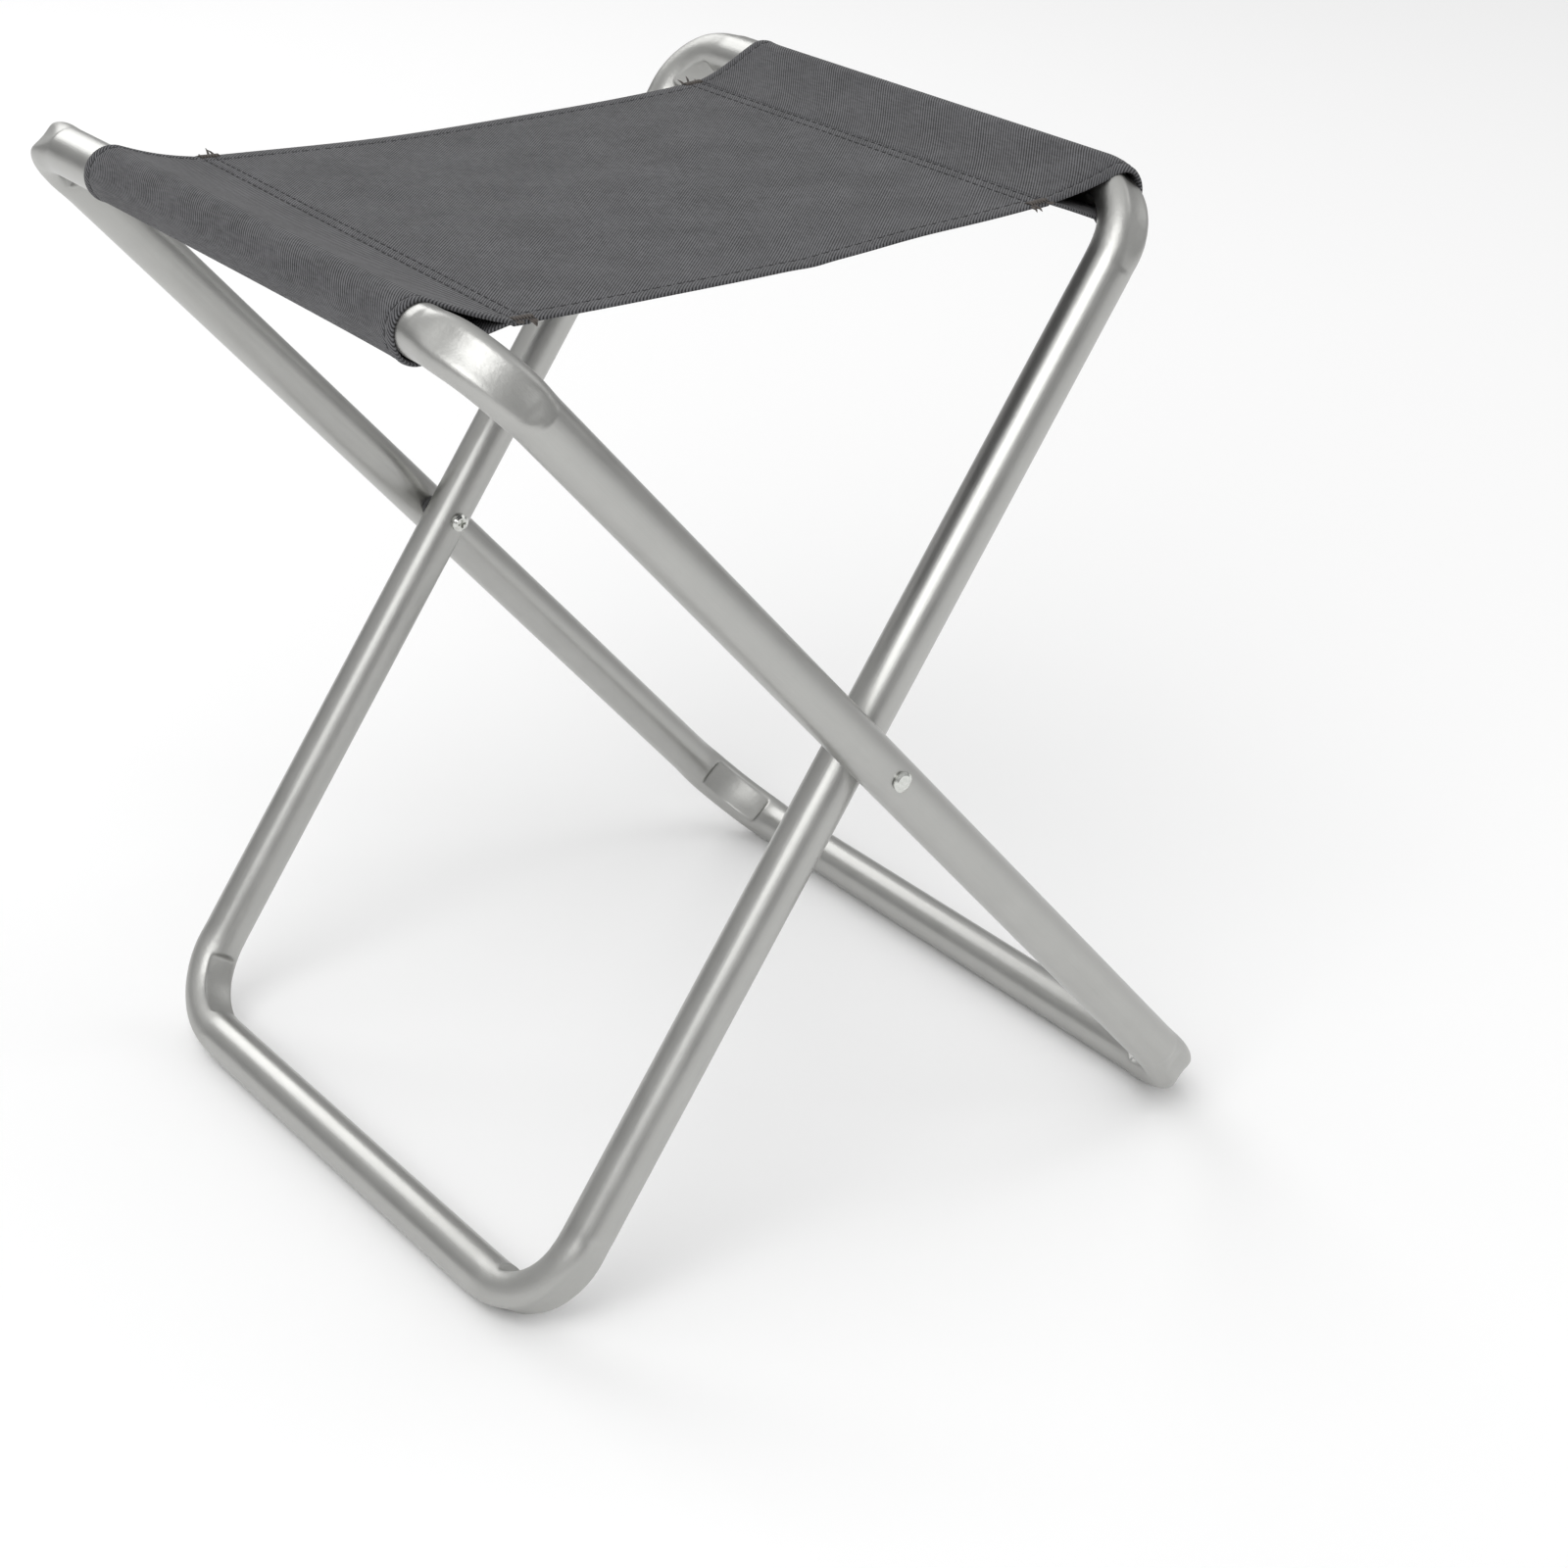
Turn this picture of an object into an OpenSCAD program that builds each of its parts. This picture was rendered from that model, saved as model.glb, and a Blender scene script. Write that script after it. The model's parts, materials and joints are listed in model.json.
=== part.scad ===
// Folding camp stool: two bent-tube frames crossed on a pivot at each side,
// with a cloth seat looped over both top rails.
// +X runs from the outer frame's top rail to the inner frame's, +Y along the rails, +Z up.
// The origin is on the ground, under the middle of the whole stool.

/* [Frame tube] */
// Outside diameter of both frames' tube
tube_d = 20; // [16:0.5:24]
// Wall of the tube
tube_wall = 1.2; // [0.8:0.1:2]
// Gap where the two ends of a frame's tube meet, under the seat sleeve
butt_gap = 0.6; // [0.2:0.1:2]

/* [Outer frame] */
// Distance between the middles of the outer frame's two legs
outer_spacing = 342; // [280:1:420]
// Pivot to the middle of the outer frame's top rail
outer_top = 266; // [220:1:320]
// Centreline radius of the outer frame's top bends
outer_top_bend = 28; // [24:1:40]
// Centreline radius of the outer frame's bottom bends
outer_bottom_bend = 38; // [24:1:50]
// Lean of the outer frame's legs above the ground, when open
outer_lean = 49; // [44:0.5:56]

/* [Inner frame] */
// Pivot to the middle of the inner frame's bottom rail
inner_bottom = 253.5; // [210:0.5:305]
// Centreline radius of the inner frame's top bends
inner_top_bend = 26; // [22:1:36]
// Centreline radius of the inner frame's bottom bends
inner_bottom_bend = 34; // [24:1:46]
// Room between the two top rails when the stool is folded
rail_room_top = 4; // [3:0.5:14]
// Room between the two bottom rails when the stool is folded
rail_room_bottom = 0.5; // [0.3:0.1:4]

/* [Pivots] */
// Room between an outer and an inner leg, filled by the spacer
leg_gap = 3; // [2:0.1:6]
// Outside diameter of the sleeve nut's barrel
barrel_d = 6; // [5:0.1:8]
// Diameter of the sleeve nut's head
nut_head_d = 8.4; // [7.4:0.1:12]
// Height of the sleeve nut's head
nut_head_h = 1.6; // [1:0.1:3]
// Diameter of the pivot screw's shank
screw_d = 4; // [3:0.1:4.6]
// Diameter of the pivot screw's pan head
screw_head_d = 8; // [7:0.1:10]
// Height of the pivot screw's pan head
screw_head_h = 3; // [2:0.1:4]
// Outside diameter of the spacer between the legs
spacer_d = 10.4; // [9.4:0.1:14]
// Clearance between a round part and the hole that it fits, on the radius
fit_clearance = 0.05; // [0.02:0.01:0.1]

/* [Joining spigots] */
// Length of the spigot that joins the ends of a frame's tube
spigot_length = 70; // [40:1:120]
// Wall of the spigot
spigot_wall = 1.5; // [1:0.1:3]

/* [Seat cloth] */
// Thickness of one layer of cloth
cloth = 0.8; // [0.5:0.1:1.2]
// Room between a top rail and the cloth looped round it
loop_room = 0.3; // [0.2:0.05:0.8]
// Middle of a top rail to the seam that closes its loop
seam_reach = 38; // [32:1:60]
// Width of the side hems
hem_width = 10; // [6:0.5:16]
// How much narrower the cloth is than the room between the inner legs
side_slack = 35; // [20:1:70]
// Room left at the front leg, where the cloth has slid along the rails
front_room = 0.6; // [0.4:0.1:10]
// Room between neighbouring pieces of cloth where the seat bends
bend_room = 0.3; // [0.2:0.05:0.6]

/* [Folded seat] */
// How far outside the folded frames the left seam hangs
seam_hang_left = 16; // [13:0.5:20]
// How far outside the folded frames the right seam hangs
seam_hang_right = 8; // [0:0.5:10]
// Angle at which the left half closes on the right half
half_close = 2; // [0:0.1:3]

/* [Stitching] */
// Width of a row of thread
thread_w = 0.6; // [0.4:0.1:1]
// Height of a row of thread above the cloth
thread_h = 0.2; // [0.1:0.05:0.6]
// Depth of the groove that a row of thread pulls into the panel
groove_depth = 0.2; // [0.1:0.05:0.4]
// Room in a groove at each side of its thread
groove_room = 0.4; // [0.2:0.1:0.8]
// Distance of a seam's first row from the edge of its lap
seam_row = 1; // [0.8:0.1:3]
// Distance between the two rows of a seam
row_pitch = 5; // [2.5:0.5:7]
// Distance of a hem's row from the edge of the cloth
hem_row = 8; // [4:0.5:12]
// Distance of a sleeve mouth's row from the end of the sleeve
mouth_row = 7; // [3:0.5:12]
// Length of a bar tack
tack_length = 8; // [4:0.5:12]
// Width of a bar tack
tack_width = 3; // [2:0.5:5]

/* [Hidden] */

$fn = 64;
// How far a cutting shape runs past the surface that it cuts
over = 1;
tube_r = tube_d / 2;

// Lengths of the two frames that follow from how they nest when folded
outer_bottom = inner_bottom + tube_d + rail_room_bottom;
inner_top = outer_top - tube_d - rail_room_top;
inner_spacing = outer_spacing - 2 * (tube_d + leg_gap);

// The inner legs lean so that both bottom rails stand on the ground
inner_lean = asin(outer_bottom * sin(outer_lean) / inner_bottom);

// Middles of the top rails, measured from the pivot: [x, z]
left_rail = [-outer_top * cos(outer_lean), outer_top * sin(outer_lean)];
right_rail = [inner_top * cos(inner_lean), inner_top * sin(inner_lean)];

// Width of the stitched lap inside each seam
lap_width = row_pitch + 2 * seam_row;

// Radii of the cloth looped round a rail
loop_in = tube_r + loop_room;
loop_out = loop_in + cloth;

// The pivot's place over the ground, with the whole stool centred on the origin
pivot_z = outer_bottom * sin(outer_lean) + tube_r;
pivot_x = -(left_rail[0] - loop_out + outer_bottom * cos(outer_lean) + tube_r) / 2;

// The seat's panel is level, at the height of the lower top rail
seam_z = min(left_rail[1], right_rail[1]);
left_tilt = asin((left_rail[1] - seam_z) / seam_reach);
right_tilt = asin((right_rail[1] - seam_z) / seam_reach);
left_seam_x = left_rail[0] + seam_reach * cos(left_tilt);
right_seam_x = right_rail[0] - seam_reach * cos(right_tilt);
panel_length = right_seam_x - left_seam_x;

// The crease, found from the folded seat: along the folded legs and out from them
folded_left_seam = [sqrt(pow(seam_reach, 2) - pow(seam_hang_left, 2)), -seam_hang_left];
folded_right_seam = [outer_top - inner_top
                     + sqrt(pow(seam_reach, 2) - pow(seam_hang_right, 2)), -seam_hang_right];
seam_apart = folded_left_seam - folded_right_seam;
left_half = (pow(panel_length, 2) - seam_apart * seam_apart)
    / (2 * (panel_length + seam_apart * [cos(half_close), sin(half_close)]));
crease_x = left_seam_x + left_half;

// The cloth's front and rear edges
cloth_width = inner_spacing - tube_d - side_slack;
front_edge = -(inner_spacing / 2 - tube_r) + front_room;
rear_edge = front_edge + cloth_width;

// Faces of the tubes at the front pivot; the rear pivot is its mirror image
outer_face = outer_spacing / 2 + tube_r;
outer_inside = outer_spacing / 2 - tube_r;
inner_outside = inner_spacing / 2 + tube_r;
inner_face = inner_spacing / 2 - tube_r;

aluminium = "#B4B4B0";
zinc = "#C4C9C0";
nylon = "#4A4A4C";
cloth_grey = "#626266";
thread_grey = "#38383B";
tack_brown = "#4B413B";

// Moves what is drawn round the pivot to its place over the ground
module at_pivot() {
    translate([pivot_x, 0, pivot_z]) children();
}

// Tips a frame that is drawn upright in the YZ plane to its lean
module leaning(tip) {
    at_pivot() rotate([0, tip, 0]) children();
}

// A quarter bend in the YZ plane, from +Y round to +Z
module quarter_bend(bend, radius) {
    rotate([90, 0, 90])
        rotate_extrude(angle = 90) translate([bend, 0]) circle(radius);
}

// The two ends of one rail, each with its bend, and the rail between them
module rail_and_bends(spacing, reach, bend, radius) {
    run = spacing / 2 - bend;
    translate([0, -run, reach])
        rotate([-90, 0, 0]) cylinder(r = radius, h = 2 * run);
    for (side = [0, 1])
        mirror([0, side, 0])
            translate([0, run, reach - bend]) quarter_bend(bend, radius);
}

// A closed loop of round bar: two legs, a top rail and a bottom rail
module frame_loop(spacing, top, bottom, top_bend, bottom_bend, radius) {
    for (side = [-1, 1])
        translate([0, side * spacing / 2, bottom_bend - bottom])
            cylinder(r = radius, h = top + bottom - top_bend - bottom_bend);
    rail_and_bends(spacing, top, top_bend, radius);
    mirror([0, 0, 1]) rail_and_bends(spacing, bottom, bottom_bend, radius);
}

// A frame of bent tube, with its butt joint and a hole for the pivot through each leg
module frame_tube(spacing, top, bottom, top_bend, bottom_bend) {
    hole_r = barrel_d / 2 + fit_clearance;
    difference() {
        frame_loop(spacing, top, bottom, top_bend, bottom_bend, tube_r);
        frame_loop(spacing, top, bottom, top_bend, bottom_bend, tube_r - tube_wall);
        for (side = [-1, 1])
            translate([0, side * spacing / 2 - tube_r - over, 0])
                rotate([-90, 0, 0]) cylinder(r = hole_r, h = tube_d + 2 * over);
        translate([0, 0, top])
            cube([tube_d + 2 * over, butt_gap, tube_d + 2 * over], center = true);
    }
}

module outer_frame_tube() {
    color(aluminium) leaning(outer_lean - 90)
        frame_tube(outer_spacing, outer_top, outer_bottom, outer_top_bend, outer_bottom_bend);
}

module inner_frame_tube() {
    color(aluminium) leaning(90 - inner_lean)
        frame_tube(inner_spacing, inner_top, inner_bottom, inner_top_bend, inner_bottom_bend);
}

// A short tube inside a top rail, across its butt joint
module joint_spigot(top) {
    radius = tube_r - tube_wall - fit_clearance;
    translate([0, 0, top]) rotate([90, 0, 0])
        difference() {
            cylinder(r = radius, h = spigot_length, center = true);
            cylinder(r = radius - spigot_wall, h = spigot_length + 2 * over, center = true);
        }
}

module outer_joint_spigot() {
    color(aluminium) leaning(outer_lean - 90) joint_spigot(outer_top);
}

module inner_joint_spigot() {
    color(aluminium) leaning(90 - inner_lean) joint_spigot(inner_top);
}

// Places a front pivot part, drawn along +Z from the outer tube's outside face inwards
module front_pivot() {
    at_pivot() translate([0, -outer_face, 0]) rotate([-90, 0, 0]) children();
}

// The same at the rear, as a mirror image
module rear_pivot() {
    mirror([0, 1, 0]) front_pivot() children();
}

// A domed head with a barrel that both tubes turn on, bored for the screw
module sleeve_nut() {
    reach = outer_face - inner_face - 2 * over;
    rim = nut_head_h / 2;
    difference() {
        union() {
            translate([0, 0, -rim]) cylinder(d = nut_head_d, h = rim);
            translate([0, 0, -nut_head_h])
                cylinder(d1 = nut_head_d * 0.72, d2 = nut_head_d, h = nut_head_h - rim);
            cylinder(d = barrel_d, h = reach);
        }
        translate([0, 0, tube_d / 2])
            cylinder(r = screw_d / 2 + fit_clearance, h = reach);
    }
}

module front_sleeve_nut() {
    color(zinc) front_pivot() sleeve_nut();
}

module rear_sleeve_nut() {
    color(zinc) rear_pivot() sleeve_nut();
}

// A pan-head screw with a cross recess, driven outwards from inside the inner leg
module pivot_screw() {
    seat = outer_face - inner_face + fit_clearance;
    recess = screw_head_d * 0.5;
    slot = screw_head_d * 0.15;
    difference() {
        union() {
            translate([0, 0, seat]) cylinder(d = screw_head_d, h = screw_head_h * 0.6);
            translate([0, 0, seat + screw_head_h * 0.6])
                cylinder(d1 = screw_head_d, d2 = screw_head_d * 0.7, h = screw_head_h * 0.4);
            translate([0, 0, tube_d]) cylinder(d = screw_d, h = seat - tube_d);
        }
        for (turn = [0, 90])
            rotate([0, 0, turn])
                translate([-recess / 2, -slot / 2, seat + screw_head_h * 0.4])
                    cube([recess, slot, screw_head_h]);
    }
}

module front_pivot_screw() {
    color(zinc) front_pivot() pivot_screw();
}

module rear_pivot_screw() {
    color(zinc) rear_pivot() pivot_screw();
}

// A ring on the barrel, between the outer and the inner leg
module pivot_spacer() {
    length = leg_gap - 2 * fit_clearance;
    translate([0, 0, tube_d + fit_clearance])
        difference() {
            cylinder(d = spacer_d, h = length);
            translate([0, 0, -over])
                cylinder(r = barrel_d / 2 + fit_clearance, h = length + 2 * over);
        }
}

module front_pivot_spacer() {
    color(nylon) front_pivot() pivot_spacer();
}

module rear_pivot_spacer() {
    color(nylon) rear_pivot() pivot_spacer();
}

// Angle at which a wall that ends at the point [reach, tip] leaves a circle
function touch_angle(radius, reach, tip) =
    atan2(tip, reach) + acos(radius / norm([reach, tip]));

// A circle round the rail, drawn out to the flat lap; grow moves its wall outwards
module teardrop(grow) {
    radius = loop_out + grow;
    tip = cloth + grow;
    lap_start = seam_reach - lap_width;
    lap_end = seam_reach - bend_room / 2;
    touch = touch_angle(radius, lap_start, tip);
    circle(radius);
    polygon([[0, 0], [radius * cos(touch), -radius * sin(touch)], [lap_start, -tip],
             [lap_end, -tip], [lap_end, tip], [lap_start, tip],
             [radius * cos(touch), radius * sin(touch)]]);
}

// The room inside a loop, one layer of cloth smaller all round, closed where the lap starts
module teardrop_room() {
    corner = seam_reach - lap_width - cloth;
    touch = touch_angle(loop_in, corner, 0);
    circle(loop_in);
    polygon([[0, 0], [loop_in * cos(touch), -loop_in * sin(touch)], [corner, 0],
             [loop_in * cos(touch), loop_in * sin(touch)]]);
}

// Draws a loop's outline along Y, from the place from to the place to
module along_rail(from, to) {
    translate([0, to, 0]) rotate([90, 0, 0]) linear_extrude(height = to - from) children();
}

// Cuts the underside of a sleeve's mouth open where the tube bends away towards its leg
module mouth_slits(bend_start, leg_turn) {
    top = loop_out + over;
    depth = tube_r + loop_room;
    rotate([0, leg_turn, 0]) {
        if (-front_edge > bend_start)
            translate([tube_r / 8, front_edge - over, -top])
                cube([seam_reach, loop_room + over - bend_start - front_edge, top + depth]);
        if (rear_edge > bend_start)
            translate([tube_r / 8, bend_start - loop_room, -top])
                cube([seam_reach, rear_edge - bend_start + loop_room + over, top + depth]);
    }
}

// A sleeve of cloth pointing along +X, round a rail whose leg turns off below it
module sleeve(bend_start, leg_turn) {
    difference() {
        along_rail(front_edge, rear_edge) difference() {
            teardrop(0);
            teardrop_room();
        }
        mouth_slits(bend_start, leg_turn);
    }
}

// Places a loop on the left top rail, turned so that its tip is at the left seam
module on_left_rail() {
    at_pivot() translate([left_rail[0], 0, left_rail[1]])
        rotate([0, left_tilt, 0]) children();
}

// The same on the right top rail, pointing back along -X
module on_right_rail() {
    at_pivot() translate([right_rail[0], 0, right_rail[1]])
        rotate([0, -right_tilt, 0]) mirror([1, 0, 0]) children();
}

module seat_sleeve_left() {
    color(cloth_grey) on_left_rail()
        sleeve(outer_spacing / 2 - outer_top_bend, outer_lean - left_tilt);
}

module seat_sleeve_right() {
    color(cloth_grey) on_right_rail()
        sleeve(inner_spacing / 2 - inner_top_bend, inner_lean - right_tilt);
}

// Grooves for both rows of a seam and for the row of each side hem, cut from the top of the cloth
module row_grooves(run) {
    half = thread_w / 2 + groove_room;
    floor_z = cloth - groove_depth;
    for (row = [seam_row, seam_row + row_pitch])
        translate([row - half, -over, floor_z])
            cube([2 * half, cloth_width + 2 * over, groove_depth + over]);
    for (row = [hem_row, cloth_width - hem_row])
        translate([-over, row - half, floor_z])
            cube([run + 2 * over, 2 * half, groove_depth + over]);
}

// Half of the seat's panel, drawn from its seam along +X: one layer, doubled at lap and hems
module half_panel(length) {
    run = length - bend_room;
    at_pivot() translate([bend_room / 2, front_edge, seam_z]) difference() {
        union() {
            cube([run, cloth_width, cloth]);
            translate([0, 0, -cloth]) cube([lap_width, cloth_width, cloth]);
            for (edge = [0, cloth_width - hem_width])
                translate([0, edge, -cloth]) cube([run, hem_width, cloth]);
        }
        row_grooves(run);
    }
}

// Places what is drawn from the left seam along +X
module from_left_seam() {
    translate([left_seam_x, 0, 0]) children();
}

// The same from the right seam, as a mirror image about the pivot's place
module from_right_seam() {
    translate([2 * pivot_x + right_seam_x, 0, 0]) mirror([1, 0, 0]) children();
}

module seat_panel_left() {
    color(cloth_grey) from_left_seam() half_panel(left_half);
}

module seat_panel_right() {
    color(cloth_grey) from_right_seam() half_panel(panel_length - left_half);
}

// Two rows of thread along a seam, in their grooves over the lap
module seam_rows() {
    at_pivot() translate([bend_room / 2, front_edge + tack_width, seam_z + cloth - groove_depth])
        for (row = [seam_row, seam_row + row_pitch])
            translate([row - thread_w / 2, 0, 0])
                cube([thread_w, cloth_width - 2 * tack_width, groove_depth + thread_h]);
}

module seam_thread_left() {
    color(thread_grey) from_left_seam() seam_rows();
}

module seam_thread_right() {
    color(thread_grey) from_right_seam() seam_rows();
}

// One row of thread in the groove of each side hem of a half panel
module hem_rows(length) {
    start = lap_width + bend_room;
    at_pivot() translate([start, 0, seam_z + cloth - groove_depth])
        for (row = [front_edge + hem_row, rear_edge - hem_row])
            translate([0, row - thread_w / 2, 0])
                cube([length - start - bend_room, thread_w, groove_depth + thread_h]);
}

module hem_thread_left() {
    color(thread_grey) from_left_seam() hem_rows(left_half);
}

module hem_thread_right() {
    color(thread_grey) from_right_seam() hem_rows(panel_length - left_half);
}

// A row of thread round the upper side of each mouth of a sleeve
module mouth_rows() {
    difference() {
        for (row = [front_edge + mouth_row, rear_edge - mouth_row])
            along_rail(row - thread_w / 2, row + thread_w / 2) difference() {
                teardrop(thread_h);
                teardrop(0);
            }
        translate([-2 * loop_out, front_edge - over, -2 * loop_out])
            cube([2 * loop_out + seam_reach + over, cloth_width + 2 * over, 2 * loop_out]);
    }
}

module mouth_thread_left() {
    color(thread_grey) on_left_rail() mouth_rows();
}

module mouth_thread_right() {
    color(thread_grey) on_right_rail() mouth_rows();
}

// A dense block of thread over the end of a seam
module bar_tack(edge) {
    at_pivot() translate([bend_room, edge, seam_z + cloth])
        cube([tack_length, tack_width, thread_h * 2]);
}

module bar_tack_front_left() {
    color(tack_brown) from_left_seam() bar_tack(front_edge);
}

module bar_tack_rear_left() {
    color(tack_brown) from_left_seam() bar_tack(rear_edge - tack_width);
}

module bar_tack_front_right() {
    color(tack_brown) from_right_seam() bar_tack(front_edge);
}

module bar_tack_rear_right() {
    color(tack_brown) from_right_seam() bar_tack(rear_edge - tack_width);
}

outer_frame_tube();
outer_joint_spigot();
inner_frame_tube();
inner_joint_spigot();
front_sleeve_nut();
rear_sleeve_nut();
front_pivot_screw();
rear_pivot_screw();
front_pivot_spacer();
rear_pivot_spacer();
seat_sleeve_left();
seat_sleeve_right();
seat_panel_left();
seat_panel_right();
seam_thread_left();
seam_thread_right();
hem_thread_left();
hem_thread_right();
mouth_thread_left();
mouth_thread_right();
bar_tack_front_left();
bar_tack_rear_left();
bar_tack_front_right();
bar_tack_rear_right();
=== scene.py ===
# %% [markdown]
# # A folding camp stool
# Two frames of bent aluminium tube cross on a pivot at each side, and a strip of grey twill
# is looped round both top rails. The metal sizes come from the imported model, so each new
# surface here starts from a joint's place or from a node's box.

# %% Load the fixed frame
import json
import math

import bpy
import numpy as np
from mathutils import Matrix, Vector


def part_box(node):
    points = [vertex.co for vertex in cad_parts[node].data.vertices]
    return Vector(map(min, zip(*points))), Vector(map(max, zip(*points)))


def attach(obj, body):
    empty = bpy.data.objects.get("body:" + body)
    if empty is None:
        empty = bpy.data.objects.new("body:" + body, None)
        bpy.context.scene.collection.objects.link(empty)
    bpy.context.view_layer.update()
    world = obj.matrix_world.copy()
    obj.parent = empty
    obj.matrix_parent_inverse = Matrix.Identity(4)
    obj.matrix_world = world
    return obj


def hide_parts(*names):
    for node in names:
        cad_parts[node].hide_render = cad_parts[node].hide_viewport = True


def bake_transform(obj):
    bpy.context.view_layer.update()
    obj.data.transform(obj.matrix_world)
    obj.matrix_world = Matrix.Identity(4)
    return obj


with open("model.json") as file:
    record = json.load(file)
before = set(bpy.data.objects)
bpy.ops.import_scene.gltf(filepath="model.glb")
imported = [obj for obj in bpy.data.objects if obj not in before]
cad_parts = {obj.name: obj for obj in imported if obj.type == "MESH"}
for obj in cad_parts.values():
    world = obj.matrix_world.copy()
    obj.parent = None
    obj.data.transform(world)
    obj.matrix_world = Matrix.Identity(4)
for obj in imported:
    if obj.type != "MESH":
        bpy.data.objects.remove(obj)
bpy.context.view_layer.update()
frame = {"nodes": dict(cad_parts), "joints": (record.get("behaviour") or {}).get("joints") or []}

# %% [markdown]
# The camera looks down on the stool from the left of its front, through a long lens. It is
# turned by three angles about the pivot, stands back along its own line of sight, and steps a
# little to the side. The lens is shifted a little, because the stool stands off-centre.

# %% Named places, in metres
mm = 0.001
place = {joint["name"]: np.array(joint["pos_m"]) for joint in frame["joints"]}
pivot = place["fold"]
left_rail = place["seat_left_swing"]
right_rail = place["seat_right_swing"]
left_seam = place["seat_left_bend"]
crease = place["seat_crease"]
seam_reach = np.linalg.norm(left_seam - left_rail)
right_seam = np.array([right_rail[0] - seam_reach, 0, left_seam[2]])
tube_radius = 10 * mm
print("pivot", pivot, "left rail", left_rail, "right rail", right_rail)

# %% Camera
azimuth, elevation, roll = (math.radians(a) for a in (-35.38, 24.16, -0.08))
away = np.array([math.sin(azimuth) * math.cos(elevation),
                 -math.cos(azimuth) * math.cos(elevation), math.sin(elevation)])
sideways = np.cross([0, 0, 1], away)
sideways /= np.linalg.norm(sideways)
upward = np.cross(away, sideways)
right_of_lens = sideways * math.cos(roll) + upward * math.sin(roll)
top_of_lens = upward * math.cos(roll) - sideways * math.sin(roll)
stand_back, step_right, step_down = 1.34716, 0.0231, 0.0017
eye = pivot + away * stand_back + right_of_lens * step_right - top_of_lens * step_down
lens = bpy.data.cameras.new("camera")
camera = bpy.data.objects.new("camera", lens)
bpy.context.scene.collection.objects.link(camera)
turn = np.eye(4)
turn[:3, 0], turn[:3, 1], turn[:3, 2], turn[:3, 3] = right_of_lens, top_of_lens, away, eye
camera.matrix_world = Matrix(turn.tolist())
lens.sensor_width = 36
lens.lens = 73.457
lens.shift_x, lens.shift_y = 0.0625, -0.1
lens.clip_end = 100
bpy.context.scene.camera = camera
print("camera at", eye)

# %% [markdown]
# Every new surface is a grid of points worked out as whole arrays. One helper turns such a grid
# into a mesh. A direction that closes on itself, such as round a tube, joins its last row to
# its first, and open ends can be capped.

# %% Mesh helpers
def link(name, mesh):
    """Puts a mesh into the scene as an object at the origin."""
    piece = bpy.data.objects.new(name, mesh)
    bpy.context.scene.collection.objects.link(piece)
    return piece


def grid_piece(name, points, closed=(False, False), uv=None, flip=False, caps=False):
    """A mesh of the grid points[i, j]; face (i, j) joins rows i, i+1 and columns j, j+1.

    closed says which direction wraps round. uv[i, j] has one more row or column than points
    where that direction wraps. caps closes the first and the last ring of a grid that wraps
    in j, with flat faces.
    """
    rows, columns = points.shape[:2]
    i, j = np.meshgrid(np.arange(rows if closed[0] else rows - 1),
                       np.arange(columns if closed[1] else columns - 1), indexing="ij")
    i, j = i.ravel(), j.ravel()
    steps = ((0, 0), (1, 0), (1, 1), (0, 1))
    if flip:
        steps = steps[::-1]
    corners = np.stack([((i + a) % rows) * columns + (j + b) % columns for a, b in steps], 1)
    loops = corners.ravel()
    sizes = np.full(len(corners), 4)
    smooth = np.ones(len(corners), bool)
    if caps:
        ring = np.arange(columns)
        first, last = ring, ring[::-1] + (rows - 1) * columns
        if flip:
            first, last = first[::-1], last[::-1]
        loops = np.concatenate([loops, first, last])
        sizes = np.concatenate([sizes, [columns, columns]])
        smooth = np.concatenate([smooth, [False, False]])
    mesh = bpy.data.meshes.new(name)
    mesh.vertices.add(rows * columns)
    mesh.vertices.foreach_set("co", points.reshape(-1).astype(np.float32))
    mesh.loops.add(len(loops))
    mesh.loops.foreach_set("vertex_index", loops.astype(np.int32))
    mesh.polygons.add(len(sizes))
    starts = np.concatenate([[0], np.cumsum(sizes)[:-1]])
    mesh.polygons.foreach_set("loop_start", starts.astype(np.int32))
    mesh.polygons.foreach_set("use_smooth", smooth)
    mesh.update(calc_edges=True)
    if uv is not None:
        at = np.stack([uv[i + a, j + b] for a, b in steps], 1).reshape(-1, 2)
        if caps:
            flat = uv[:, :columns].reshape(-1, 2)
            at = np.concatenate([at, flat[first], flat[last % len(flat)]])
        mesh.uv_layers.new(name="UVMap").data.foreach_set("uv", at.ravel().astype(np.float32))
    return link(name, mesh)


def smooth_step(x):
    """0 below 0, 1 above 1, and x*x*(3-2x) between them."""
    x = np.clip(x, 0, 1)
    return x * x * (3 - 2 * x)


def soft_min(a, b, width):
    """The lesser of a and b, with the corner where they cross rounded over that width."""
    return 0.5 * (a + b - np.sqrt((a - b) ** 2 + width ** 2))


# %% [markdown]
# ## Shader maths
# A wrapped socket adds, multiplies and so on by adding Math nodes, so a material reads like a
# formula. Every other node comes from one method.

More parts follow.
